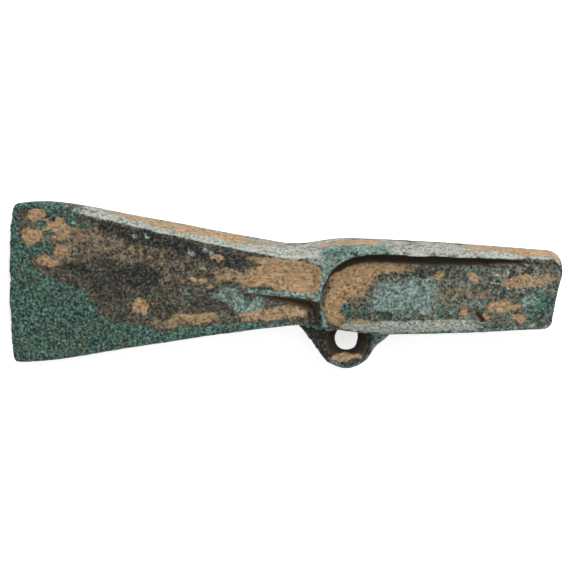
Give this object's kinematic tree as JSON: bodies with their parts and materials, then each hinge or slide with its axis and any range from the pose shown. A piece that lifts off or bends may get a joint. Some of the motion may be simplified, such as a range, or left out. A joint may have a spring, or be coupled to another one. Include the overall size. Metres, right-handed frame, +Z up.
{
  "type": "bronze palstave axe head",
  "caption": "Solid cast bronze axe head with a flared blade, midrib, stop ridge, flanged hafting slots and a side loop for lashing.",
  "frame": {"origin": "on the surface that the axe head lies on, under the middle of its bounding box", "axes": "+X from the cutting edge towards the butt, +Y towards the side without the loop, +Z up; the axe head's own long axis rises 2.79 degrees towards the butt, as it lies at rest"},
  "size_m": [0.165, 0.0494, 0.0204],
  "materials": {
    "patinated_bronze": "matt granular green, blue-green and dark brown patina with orange-tan soil in the hollows"
  },
  "bodies": {
    "root": {"axe_head": "patinated_bronze"}
  },
  "joints": []
}
